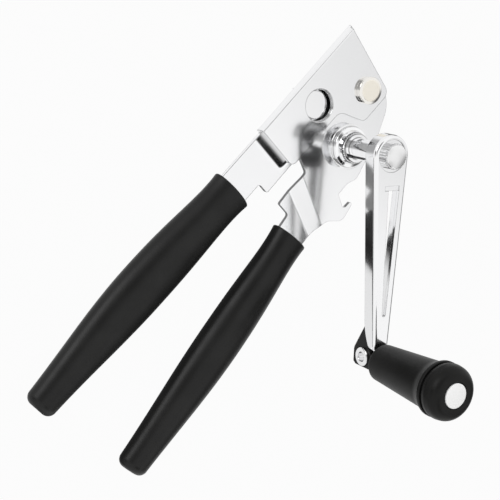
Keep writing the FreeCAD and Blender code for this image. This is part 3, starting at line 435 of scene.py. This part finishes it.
@dataclass(frozen=True)
class PolishedMetal:
    """Plated or polished metal: nearly a mirror, with faint lines, waves and handling marks.

    Its edges take edge_tone, as painted shade where it is dark and as a painted highlight where it is pale.
    With the flag for faces below, faces that look down get painted shade and are rougher.  With a depth for
    nooks, painted shade darkens metal where another face stands that near.
    """

    colour: Colour
    dark: Colour
    rough_low: float
    rough_high: float
    line_turn: float
    line_height: float
    edge_reach: float = 0.00035
    edge_tone: float = 0.95
    edge_amount: float = 0.35
    wave_height: float = 0.00002
    cover: float = 0.35
    step: PressStep | None = None
    dull_and_shaded_below: bool = False
    nook_shade_depth: float = 0.0

    EDGE_GAIN = 9.0
    WAVE_SHARE = 0.6
    LINE_RANGE = (0.3, 0.75)
    SMUDGE_SIZE = 46.0
    SMUDGE_ROUGH = 0.05
    NOOK_SHADE_RANGE = (0.45, 0.85)
    DOWN_RANGE = (-0.9, -0.5)
    DULL_ROUGH = 0.4

    def build(self, name: str, effects: Effects) -> bpy.types.Material:
        """Builds the material.

        Args:
            name: the material's name.
            effects: the shared effects.

        Returns:
            The material.
        """
        material, sheet = fresh_material(name)
        polish = place_group(sheet, effects.polish, {"Turn": self.line_turn, "Fineness": 1.0})
        marks = place_group(sheet, effects.smudge, {"Size": self.SMUDGE_SIZE, "Cover": self.cover})
        edge = place_group(sheet, effects.edge, {"Reach": self.edge_reach, "Gain": self.EDGE_GAIN})
        waves = sheet.math("MULTIPLY", polish.outputs["Wave"], self.WAVE_SHARE)
        tone = sheet.mix(waves, rgba(self.colour), rgba(self.dark))
        # Painted shade or painted highlight along edges: edge_tone darkens or lightens the metal there.
        rim = rgba((self.edge_tone, self.edge_tone, self.edge_tone))
        tone = sheet.mix(sheet.math("MULTIPLY", edge.outputs["Mask"], self.edge_amount), tone, rim)
        rough = sheet.ramp(polish.outputs["Lines"], *self.LINE_RANGE, self.rough_low, self.rough_high)
        rough = sheet.math("ADD", rough, sheet.math("MULTIPLY", marks.outputs["Mask"], self.SMUDGE_ROUGH))
        # Painted shade in nooks: metal turns dark where another face stands near.
        if self.nook_shade_depth > 0.0:
            nook = sheet.add("ShaderNodeAmbientOcclusion", {"Distance": self.nook_shade_depth},
                             samples=NOOK_SHADE_SAMPLES).outputs["AO"]
            tone = sheet.mix(sheet.ramp(nook, *self.NOOK_SHADE_RANGE, 1.0, 0.0), tone, rgba(PAINTED_NOOK_SHADE))
        # Painted shade on faces that look down; they are also made rougher.
        if self.dull_and_shaded_below:
            facing = sheet.add("ShaderNodeNewGeometry").outputs["True Normal"]
            down = sheet.ramp(sheet.axis(facing, "Z"), *self.DOWN_RANGE, 1.0, 0.0)
            tone = sheet.mix(down, tone, rgba(PAINTED_UNDERSIDE_SHADE))
            rough = sheet.math("ADD", rough, sheet.math("MULTIPLY", down, self.DULL_ROUGH))
        normal = sheet.rounded(self.edge_reach)
        normal = sheet.bump(polish.outputs["Lines"], self.line_height, 0.5, normal)
        normal = sheet.bump(polish.outputs["Wave"], self.wave_height, 1.0, normal)
        if self.step:
            normal = self.step.bend(sheet, normal)
        sheet.surface(Base_Color=tone, Metallic=1.0, Roughness=rough, Normal=normal)
        return material


@dataclass(frozen=True)
class TurnedMetal:
    """Machined metal with concentric marks about an upright axis, and another tone above cap_z."""

    colour: Colour
    dark: Colour
    rough_low: float
    rough_high: float
    centre: tuple[float, float]
    cap_z: float
    cap: Colour
    cap_rough: float
    ring_height: float = 0.0000006
    edge_reach: float = 0.0003

    EDGE_GAIN = 5.0
    EDGE_SHARE = 0.75
    RING_RANGE = (0.3, 0.7)
    SMUDGE_SIZE = 120.0
    SMUDGE_COVER = 0.4
    CAP_BLEND = 0.00004

    def build(self, name: str, effects: Effects) -> bpy.types.Material:
        """Builds the material.

        Args:
            name: the material's name.
            effects: the shared effects.

        Returns:
            The material.
        """
        material, sheet = fresh_material(name)
        lathe = place_group(sheet, effects.lathe, {
            "Centre X": self.centre[0], "Centre Y": self.centre[1], "Pitch": TURNING_PITCH})
        marks = place_group(sheet, effects.smudge, {"Size": self.SMUDGE_SIZE, "Cover": self.SMUDGE_COVER})
        edge = place_group(sheet, effects.edge, {"Reach": self.edge_reach, "Gain": self.EDGE_GAIN})
        tone = sheet.mix(marks.outputs["Mask"], rgba(self.colour), rgba(self.dark))
        # Painted shade: dark lines along the edges.
        rim = sheet.math("MULTIPLY", edge.outputs["Mask"], self.EDGE_SHARE)
        tone = sheet.mix(rim, tone, rgba(PAINTED_EDGE_SHADE))
        rough = sheet.ramp(lathe.outputs["Rings"], *self.RING_RANGE, self.rough_low, self.rough_high)
        height = sheet.axis(sheet.place(), "Z")
        top = sheet.ramp(height, self.cap_z - self.CAP_BLEND, self.cap_z + self.CAP_BLEND)
        tone = sheet.mix(top, tone, rgba(self.cap))
        rough = sheet.math("ADD", rough, sheet.math("MULTIPLY", top, self.cap_rough))
        normal = sheet.rounded(self.edge_reach)
        normal = sheet.bump(lathe.outputs["Rings"], self.ring_height, 1.0, normal)
        sheet.surface(Base_Color=tone, Metallic=1.0, Roughness=rough, Normal=normal)
        return material


@dataclass(frozen=True)
class MouldedSkin:
    """Moulded rubber or plastic with a fine pebbled skin."""

    colour: Colour
    pale: Colour
    rough_low: float
    rough_high: float
    grain_scale: float
    grain_height: float
    edge_light: float
    specular: float = 0.5

    # Painted highlight along edges.
    EDGE_PALE = (0.3, 0.3, 0.29)
    EDGE_REACH = 0.0005
    EDGE_GAIN = 2.0
    SOFT_REACH = 0.0003
    GRAIN_STRENGTH = 0.6
    MOTTLE_RANGE = (0.35, 0.7)
    SMUDGE_SIZE = 38.0
    SMUDGE_COVER = 0.45

    def build(self, name: str, effects: Effects) -> bpy.types.Material:
        """Builds the material.

        Args:
            name: the material's name.
            effects: the shared effects.

        Returns:
            The material.
        """
        material, sheet = fresh_material(name)
        grain = place_group(sheet, effects.grain, {"Scale": self.grain_scale})
        marks = place_group(sheet, effects.smudge, {"Size": self.SMUDGE_SIZE, "Cover": self.SMUDGE_COVER})
        edge = place_group(sheet, effects.edge, {"Reach": self.EDGE_REACH, "Gain": self.EDGE_GAIN})
        mottle = sheet.ramp(grain.outputs["Mottle"], *self.MOTTLE_RANGE)
        tone = sheet.mix(mottle, rgba(self.colour), rgba(self.pale))
        # Painted highlight: edges turn paler by edge_light.
        rim = sheet.math("MULTIPLY", edge.outputs["Mask"], self.edge_light)
        tone = sheet.mix(rim, tone, rgba(self.EDGE_PALE))
        rough = sheet.ramp(marks.outputs["Mask"], 0.0, 1.0, self.rough_low, self.rough_high)
        normal = sheet.rounded(self.SOFT_REACH)
        normal = sheet.bump(grain.outputs["Height"], self.grain_height, self.GRAIN_STRENGTH, normal)
        sheet.surface(Base_Color=tone, Roughness=rough, Normal=normal, Specular_IOR_Level=self.specular)
        return material


# ---------------------------------------------------------------- studio
@dataclass(frozen=True)
class DarkCard:
    """A dark card in the room, as a round patch of the sky that metal mirrors.

    It lies towards a direction.  edge_cos and core_cos are the cosines of the angles from there at which it
    begins and is full, and level is the share of light that it takes away.
    """

    towards: Point
    edge_cos: float
    core_cos: float
    level: float


@dataclass(frozen=True)
class FloorZone:
    """Brightness of the floor in a mirror, along Y: one level up to a start, another from an end on."""

    start_y: float
    end_y: float
    before: float
    after: float


@dataclass(frozen=True)
class Lamp:
    """A square soft lamp: its name, centre and edge in metres, and power in watts."""

    name: str
    place: Point
    size: float
    power: float


@dataclass
class Studio:
    """Pale floor, white room with dark cards, one soft lamp and the camera."""

    floor_half: float = 1.1
    floor_centre: Point = (-0.06, -0.02, -0.00002)
    floor_tone: Colour = (0.2, 0.2, 0.2)
    floor_glow: float = 0.965
    # Mirror zones of the floor: the dark band between them, under the opener, is a painted shadow.
    zones: tuple[FloorZone, FloorZone] = (
        FloorZone(-0.01, 0.012, 0.12, 1.0),
        FloorZone(-0.056, -0.044, 0.85, 0.0),
    )
    camera_at: Point = (-0.201987, 0.275005, 0.497345)
    camera_axes: tuple[Point, Point, Point] = (
        (0.633052, 0.743650, -0.215012),
        (-0.574368, 0.637440, 0.513587),
        (0.518986, -0.201631, 0.830662),
    )
    sensor_mm: float = 36.0
    focal_mm: float = 84.24
    clip: tuple[float, float] = (0.01, 20.0)
    lamps: tuple[Lamp, ...] = (Lamp("fill", (-0.25, 1.15, 0.55), 0.6, 3.0),)
    lamp_aim: Point = (-0.06, -0.03, 0.03)
    ambient: float = 1.0
    horizon_share: float = 0.9
    horizon_top: float = 0.4
    cards: tuple[DarkCard, ...] = (
        DarkCard((-0.36, -0.52, 0.775), 0.966, 0.982, 1.0),
        DarkCard((-0.14, 0.52, 0.84), 0.92, 0.98, 0.6),
        DarkCard((0.20, 0.38, 0.90), 0.95, 0.985, 0.85),
        DarkCard((-0.53, 0.80, 0.25), 0.93, 0.98, 0.9),
        DarkCard((0.30, -0.94, 0.15), 0.86, 0.95, 0.85),
        DarkCard((0.50, -0.48, 0.72), 0.965, 0.995, 0.2),
    )

    def build(self) -> None:
        """Builds the whole studio."""
        self.camera()
        self.floor()
        self.world()
        for lamp in self.lamps:
            self.light(lamp)
        bpy.context.scene.view_settings.view_transform = "Standard"

    def camera(self) -> None:
        """Places the camera."""
        data = bpy.data.cameras.new("camera")
        data.sensor_width = self.sensor_mm
        data.lens = self.focal_mm
        data.clip_start, data.clip_end = self.clip
        camera = bpy.data.objects.new("camera", data)
        bpy.context.scene.collection.objects.link(camera)
        camera.matrix_world = Matrix.Translation(self.camera_at) @ Matrix(self.camera_axes).to_4x4()
        bpy.context.scene.camera = camera

    def light(self, lamp: Lamp) -> None:
        """Adds a soft lamp that faces the object.

        Args:
            lamp: what it is and where it stands.
        """
        data = bpy.data.lights.new("lamp_" + lamp.name, "AREA")
        data.shape = "SQUARE"
        data.size = lamp.size
        data.energy = lamp.power
        made = bpy.data.objects.new("lamp_" + lamp.name, data)
        bpy.context.scene.collection.objects.link(made)
        aim = Vector(self.lamp_aim) - Vector(lamp.place)
        turn = aim.to_track_quat("-Z", "Y").to_matrix().to_4x4()
        made.matrix_world = Matrix.Translation(lamp.place) @ turn

    def floor(self) -> None:
        """Adds a pale floor: bright to the camera, zoned in mirrors with a painted shadow under the opener,
        and dull to all other light.
        """
        shape = bmesh.new()
        bmesh.ops.create_grid(shape, x_segments=1, y_segments=1, size=self.floor_half)
        bmesh.ops.translate(shape, verts=shape.verts, vec=self.floor_centre)
        mesh = bpy.data.meshes.new("floor")
        shape.to_mesh(mesh)
        shape.free()
        plate = bpy.data.objects.new("floor", mesh)
        bpy.context.scene.collection.objects.link(plate)
        material, sheet = fresh_material("floor_white")
        seen = sheet.add("ShaderNodeLightPath").outputs
        across = sheet.axis(sheet.place(), "Y")
        # Painted shadow: in mirrors the floor is dark in a band under the opener.
        levels = [sheet.ramp(across, zone.start_y, zone.end_y, zone.before, zone.after)
                  for zone in self.zones]
        mirrored = sheet.math("MULTIPLY", seen["Is Glossy Ray"], sheet.math("MAXIMUM", *levels))
        matt = sheet.add("ShaderNodeBsdfDiffuse", {"Color": rgba(self.floor_tone)})
        glow = sheet.add("ShaderNodeEmission", {"Color": rgba(WHITE), "Strength": 1.0})
        bright = sheet.math("MAXIMUM", seen["Is Camera Ray"], mirrored)
        amount = sheet.math("MULTIPLY", bright, self.floor_glow)
        mixed = sheet.add("ShaderNodeMixShader", {0: amount, 1: matt.outputs[0], 2: glow.outputs[0]})
        sheet.add("ShaderNodeOutputMaterial", {"Surface": mixed.outputs[0]})
        mesh.materials.append(material)

    def world(self) -> None:
        """Makes the room: white light with dark cards for the metal to mirror, and white where seen."""
        world = bpy.data.worlds.new("room")
        bpy.context.scene.world = world
        world.use_nodes = True
        sheet = NodeSheet(world.node_tree)
        way = sheet.add("ShaderNodeTexCoord").outputs["Generated"]
        low = self.ambient * self.horizon_share
        level = sheet.ramp(sheet.axis(way, "Z"), 0.0, self.horizon_top, low, self.ambient)
        for card in self.cards:
            facing = sheet.vector("DOT_PRODUCT", way, card.towards).outputs["Value"]
            shade = sheet.ramp(facing, card.edge_cos, card.core_cos, 1.0, 1.0 - card.level)
            level = sheet.math("MULTIPLY", level, shade)
        seen = sheet.add("ShaderNodeLightPath").outputs["Is Camera Ray"]
        level = sheet.math("MAXIMUM", level, seen)
        back = sheet.add("ShaderNodeBackground", {"Color": rgba(WHITE), "Strength": level})
        sheet.add("ShaderNodeOutputWorld", {"Surface": back.outputs[0]})


# ---------------------------------------------------------------- mesh helpers
def dress(node: str, material: bpy.types.Material) -> None:
    """Gives a CAD node its finish.

    Args:
        node: the node's name.
        material: the finish.
    """
    piece = frame["nodes"][node]
    for slot in piece.material_slots:
        slot.material = material
    LOG.info("dressed %s with %s", node, material.name)


def turned_ring(name: str, centre: tuple[float, float], radius: float, section: float,
                height: float) -> bpy.types.Object:
    """Makes a round wire ring about an upright axis.

    Args:
        name: the piece's name.
        centre: the axis, in metres.
        radius: from the axis to the wire's middle, in metres.
        section: the wire's own radius, in metres.
        height: level of the wire's middle, in metres.

    Returns:
        The ring.
    """
    shape = bmesh.new()
    wire = bmesh.ops.create_circle(shape, segments=RING_SEGMENTS, radius=section)["verts"]
    upright = Matrix.Rotation(math.pi / 2, 3, "X")
    bmesh.ops.rotate(shape, verts=wire, cent=(0.0, 0.0, 0.0), matrix=upright)
    bmesh.ops.translate(shape, verts=wire, vec=(centre[0] + radius, centre[1], height))
    bmesh.ops.spin(shape, geom=shape.verts[:] + shape.edges[:], cent=(*centre, 0.0), axis=(0.0, 0.0, 1.0),
                   angle=2.0 * math.pi, steps=RING_STEPS, use_merge=True)
    bmesh.ops.recalc_face_normals(shape, faces=shape.faces)
    for face in shape.faces:
        face.smooth = True
    mesh = bpy.data.meshes.new(name)
    shape.to_mesh(mesh)
    shape.free()
    ring = bpy.data.objects.new(name, mesh)
    bpy.context.scene.collection.objects.link(ring)
    return ring


@dataclass(frozen=True)
class WindowRim:
    """Two raised lines about the round window's axis, in its bore.

    Each has its radius, the wire's own radius and its level, in metres.
    """

    centre: tuple[float, float] = (0.0, 0.0)
    rings: tuple[Point, ...] = (
        (0.0081, 0.0002, 0.01212),
        (0.00812, 0.0002, 0.01292),
    )

    def build(self, material: bpy.types.Material) -> None:
        """Builds the rings on the upper handle.

        Args:
            material: the rings' finish.
        """
        for index, (radius, section, height) in enumerate(self.rings, start=1):
            ring = turned_ring(f"window_rim_{index}", self.centre, radius, section, height)
            ring.data.materials.append(material)
            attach(ring, "upper_handle")
            LOG.info("built %s", ring.name)


@dataclass
class Opener:
    """The whole opener, dressed group by group."""

    effects: Effects
    own: dict[str, Finish] = field(default_factory=lambda: {
        "crank_arm": Finish.ARM, "upper_lever": Finish.CHANNEL, "drive_shaft": Finish.SHAFT})
    materials: dict[Finish, bpy.types.Material] = field(default_factory=dict)

    def build(self) -> None:
        """Makes the finishes and dresses every node."""
        finishes = {
            # Dark edge_tone values paint shade along the edges, and pale ones paint highlights.
            Finish.SHEET: PolishedMetal(
                (0.94, 0.942, 0.948), (0.87, 0.872, 0.88), rough_low=0.12, rough_high=0.16, line_turn=0.0,
                line_height=0.0000006, edge_reach=0.0003, edge_tone=0.05, edge_amount=0.8),
            Finish.CHANNEL: PolishedMetal(
                (0.94, 0.942, 0.948), (0.87, 0.872, 0.88), rough_low=0.11, rough_high=0.15, line_turn=0.0,
                line_height=0.0000006, edge_reach=0.0005, edge_tone=0.02, edge_amount=1.0,
                step=PressStep(start_x=-0.0378, end_x=-0.0240, rise=0.0053, fade_low_y=-0.0112,
                               fade_high_y=-0.0078, top_z=0.0112)),
            Finish.ARM: PolishedMetal(
                (0.92, 0.922, 0.928), (0.89, 0.892, 0.898), rough_low=0.07, rough_high=0.11, line_turn=0.8,
                line_height=0.0000004, edge_reach=0.00025, edge_tone=0.03, edge_amount=0.9,
                dull_and_shaded_below=True),
            Finish.TURNED: PolishedMetal(
                (0.95, 0.95, 0.955), (0.9, 0.9, 0.905), rough_low=0.04, rough_high=0.07, line_turn=0.0,
                line_height=0.0000003, edge_reach=0.00024, edge_tone=0.02, edge_amount=0.95,
                nook_shade_depth=0.0009),
            Finish.SHAFT: TurnedMetal(
                (0.95, 0.95, 0.955), (0.9, 0.9, 0.905), rough_low=0.06, rough_high=0.09,
                centre=(-0.0017, -0.02813), cap_z=0.05464, cap=(0.9, 0.9, 0.9), cap_rough=0.3),
            Finish.NICKEL: TurnedMetal(
                (0.88, 0.86, 0.82), (0.8, 0.78, 0.74), rough_low=0.06, rough_high=0.1,
                centre=(0.026231, -0.015699), cap_z=0.01658, cap=(0.93, 0.885, 0.79), cap_rough=0.3),
            Finish.ZINC: PolishedMetal(
                (0.66, 0.67, 0.68), (0.58, 0.58, 0.58), rough_low=0.28, rough_high=0.4, line_turn=0.0,
                line_height=0.000001),
            Finish.GROUND: PolishedMetal(
                (0.55, 0.55, 0.56), (0.46, 0.46, 0.47), rough_low=0.25, rough_high=0.36, line_turn=0.8,
                line_height=0.000001),
            Finish.GRIP: MouldedSkin(
                (0.004, 0.004, 0.0037), (0.007, 0.007, 0.0066), rough_low=0.36, rough_high=0.44,
                grain_scale=1500.0, grain_height=0.00002, edge_light=0.03, specular=0.31),
            Finish.KNOB: MouldedSkin(
                (0.005, 0.005, 0.0046), (0.008, 0.008, 0.0076), rough_low=0.38, rough_high=0.46,
                grain_scale=2200.0, grain_height=0.00002, edge_light=0.03, specular=0.18),
            Finish.BRACKET: MouldedSkin(
                (0.004, 0.004, 0.004), (0.007, 0.007, 0.007), rough_low=0.3, rough_high=0.4,
                grain_scale=2600.0, grain_height=0.00002, edge_light=0.04, specular=0.2),
            Finish.BUTTON: MouldedSkin(
                (0.98, 0.98, 0.975), (0.95, 0.95, 0.945), rough_low=0.3, rough_high=0.4,
                grain_scale=2600.0, grain_height=0.00001, edge_light=0.0),
        }
        for finish, recipe in finishes.items():
            self.materials[finish] = recipe.build(finish.value, self.effects)
        for entry in frame["record"]["subparts"]:
            finish = self.own.get(entry["node"], Finish(entry["material_slot"]))
            dress(entry["node"], self.materials[finish])
        WindowRim().build(self.materials[Finish.TURNED])


def main() -> None:
    """Builds the studio and the opener."""
    logging.basicConfig(level=logging.INFO, format="%(message)s")
    Studio().build()
    Opener(Effects()).build()


if __name__ == "__main__":
    main()
